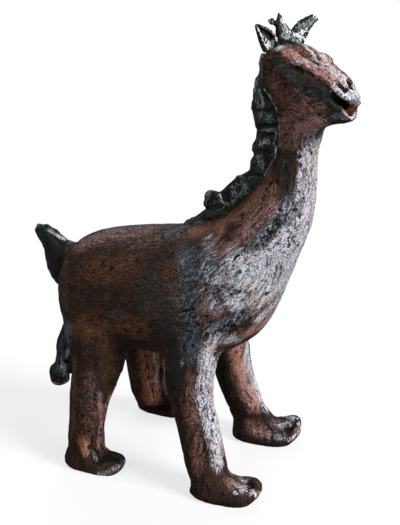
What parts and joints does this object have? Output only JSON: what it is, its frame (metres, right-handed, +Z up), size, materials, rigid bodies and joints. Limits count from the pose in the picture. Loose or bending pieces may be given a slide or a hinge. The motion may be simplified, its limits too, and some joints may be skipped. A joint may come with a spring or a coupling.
{
  "type": "stoneware horse sculpture",
  "caption": "Standing hand-built stoneware horse with a long upright neck, turned head, open mouth, pricked ears, ridged mane and long tail, resting on slipper-like feet.",
  "frame": {"origin": "centre of the outline on the plane the soles stand on", "axes": "+X the way the horse faces, +Y its left side, +Z up"},
  "size_m": [0.3758, 0.1944, 0.5017],
  "materials": {
    "clay": "matt iron-washed coarse stoneware, with dark glossy glaze on the mane and tail"
  },
  "bodies": {
    "root": {"horse": "clay"}
  },
  "joints": []
}
